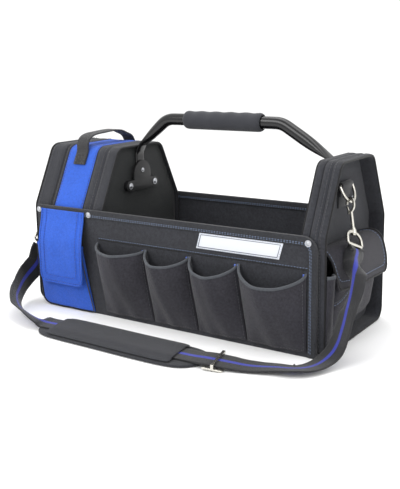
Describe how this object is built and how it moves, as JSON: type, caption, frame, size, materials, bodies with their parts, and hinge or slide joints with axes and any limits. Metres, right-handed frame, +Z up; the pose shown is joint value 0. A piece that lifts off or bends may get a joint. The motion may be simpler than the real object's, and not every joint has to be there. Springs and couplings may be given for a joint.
{
  "type": "open top tool tote",
  "caption": "Open tool bag with a bent tube handle, a zipped tool case at one end, outside pockets and a padded shoulder strap.",
  "frame": {"origin": "on the floor plane, on the underside of the base panel, midway between front and back walls", "axes": "+X along the tote from the tool case to the right end, -Y out of the front, +Z up"},
  "size_m": [0.5932, 0.3494, 0.317],
  "materials": {
    "charcoal_cloth": "woven polyester, matt",
    "pocket_cloth": "woven polyester, matt",
    "inner_cloth": "coated cloth over board, slight sheen",
    "blue_cloth": "woven polyester, matt",
    "binding_cloth": "webbing binding, stitched",
    "zip_tape": "coil zip on cloth tape",
    "black_tube": "gloss black paint",
    "grip_foam": "closed foam, matt",
    "black_plastic": "satin",
    "nickel": "nickel plated, polished",
    "rivet_metal": "polished",
    "webbing": "woven webbing",
    "label_plate": "smooth, bare",
    "pad_cloth": "padded cloth, matt"
  },
  "bodies": {
    "tote": {"case_lid": "charcoal_cloth", "case_zip_strip": "charcoal_cloth", "case_inner_band": "charcoal_cloth", "right_end_wall": "charcoal_cloth", "right_end_rim": "charcoal_cloth", "front_wall": "charcoal_cloth", "back_wall": "charcoal_cloth", "case_zip": "zip_tape", "case_gusset": "blue_cloth", "case_pocket": "blue_cloth", "case_flap": "blue_cloth", "case_inner_panel": "inner_cloth", "base_panel": "inner_cloth", "front_binding": "binding_cloth", "back_binding": "binding_cloth", "front_rivet_1": "rivet_metal", "front_rivet_2": "rivet_metal", "front_rivet_3": "rivet_metal", "back_rivet_1": "rivet_metal", "back_rivet_2": "rivet_metal", "back_rivet_3": "rivet_metal", "bracket_rivet_left_1": "rivet_metal", "bracket_rivet_left_2": "rivet_metal", "bracket_rivet_right_1": "rivet_metal", "bracket_rivet_right_2": "rivet_metal", "bracket_screw_left": "rivet_metal", "bracket_screw_right": "rivet_metal", "end_rivet_1": "rivet_metal", "end_rivet_2": "rivet_metal", "front_pocket_1": "pocket_cloth", "front_pocket_2": "pocket_cloth", "front_pocket_3": "pocket_cloth", "front_pocket_4": "pocket_cloth", "end_pocket": "pocket_cloth", "end_flap": "pocket_cloth", "side_pocket": "pocket_cloth", "front_label": "label_plate", "handle_tube": "black_tube", "handle_grip": "grip_foam", "bracket_left": "black_plastic", "bracket_right": "black_plastic", "grab_loop": "webbing", "strap_tab_right": "webbing", "strap_tab_left": "webbing", "shoulder_strap": "webbing", "d_ring_right": "nickel", "d_ring_left": "nickel", "hook_right": "nickel", "hook_eye_right": "nickel", "hook_left": "nickel", "hook_eye_left": "nickel", "strap_slider": "nickel", "shoulder_pad_base": "pad_cloth", "shoulder_pad_cover": "pad_cloth"},
    "gate_right": {"hook_gate_right": "nickel"},
    "gate_left": {"hook_gate_left": "nickel"}
  },
  "joints": [
    {"name": "gate_right_hinge", "type": "hinge", "parent": "tote", "child": "gate_right", "pos_m": [0.25643, -0.01184, 0.18313], "axis": [0.4151, 0.8782, -0.2377], "range_deg": [0, 18], "stiffness_Nm_per_rad": 0.02, "springref_deg": -8.59},
    {"name": "gate_left_hinge", "type": "hinge", "parent": "tote", "child": "gate_left", "pos_m": [-0.26249, -0.05942, 0.13476], "axis": [0.7278, -0.5776, 0.3697], "range_deg": [0, 18], "stiffness_Nm_per_rad": 0.02, "springref_deg": -8.59}
  ]
}
